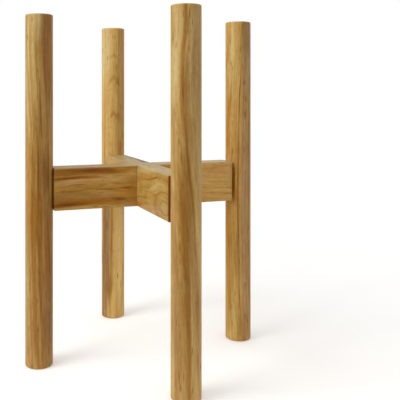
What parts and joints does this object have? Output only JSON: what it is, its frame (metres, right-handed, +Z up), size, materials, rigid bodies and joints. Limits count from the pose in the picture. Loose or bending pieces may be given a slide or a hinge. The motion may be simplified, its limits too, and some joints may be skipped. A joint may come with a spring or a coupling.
{
  "type": "plant stand",
  "caption": "Wooden plant stand: round vertical legs joined by two crossbars halved into each other, which carry a pot between the legs.",
  "frame": {"origin": "on the floor, under the middle of the cross", "axes": "+Z up along the legs; X along the lower crossbar, from the left leg to the right leg; Y along the upper crossbar, from the front leg to the back leg"},
  "size_m": [0.272, 0.272, 0.38],
  "materials": {
    "leg_wood": "clear satin varnish on pine",
    "crossbar_wood": "clear satin varnish on pine",
    "dowel_wood": "bare beech",
    "zinc_plated_steel": "zinc plated",
    "brass": "turned"
  },
  "bodies": {
    "root": {"leg_front": "leg_wood", "leg_right": "leg_wood", "leg_back": "leg_wood", "leg_left": "leg_wood", "lower_crossbar": "crossbar_wood", "upper_crossbar": "crossbar_wood", "dowel_front_top": "dowel_wood", "dowel_front_bottom": "dowel_wood", "dowel_right_top": "dowel_wood", "dowel_right_bottom": "dowel_wood", "dowel_back_top": "dowel_wood", "dowel_back_bottom": "dowel_wood", "dowel_left_top": "dowel_wood", "dowel_left_bottom": "dowel_wood", "centre_bolt": "zinc_plated_steel", "bolt_washer": "zinc_plated_steel", "threaded_insert": "brass"}
  },
  "joints": []
}
